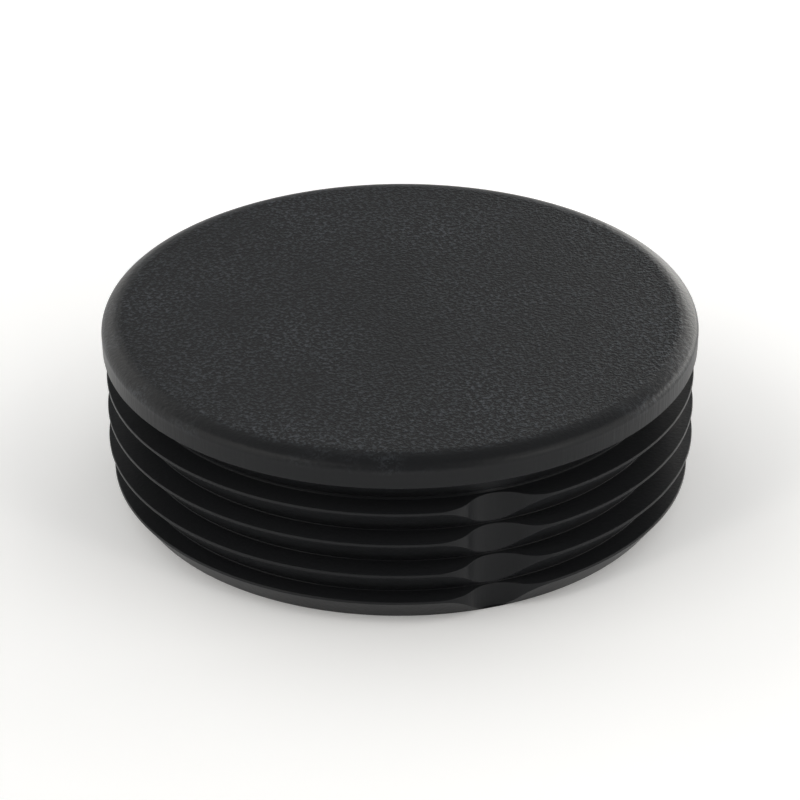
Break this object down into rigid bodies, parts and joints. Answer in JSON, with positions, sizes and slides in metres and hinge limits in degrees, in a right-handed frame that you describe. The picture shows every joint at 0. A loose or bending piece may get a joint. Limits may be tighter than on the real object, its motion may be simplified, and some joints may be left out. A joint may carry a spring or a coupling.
{
  "type": "tube end cap",
  "caption": "Round black plastic cap with a flat head and a hollow insert ringed with fins, pressed into the open end of a round tube.",
  "frame": {"origin": "centre of the open rim, at the bottom of the insert", "axes": "+Z along the tube's axis, out of the tube and through the head; -Y through one of the two notches in the fins"},
  "size_m": [0.1, 0.1, 0.0314],
  "materials": {
    "body": "black polyethylene, finely grained on the head's top and satin on its side and the fins"
  },
  "bodies": {
    "root": {"end_cap": "body"}
  },
  "joints": []
}
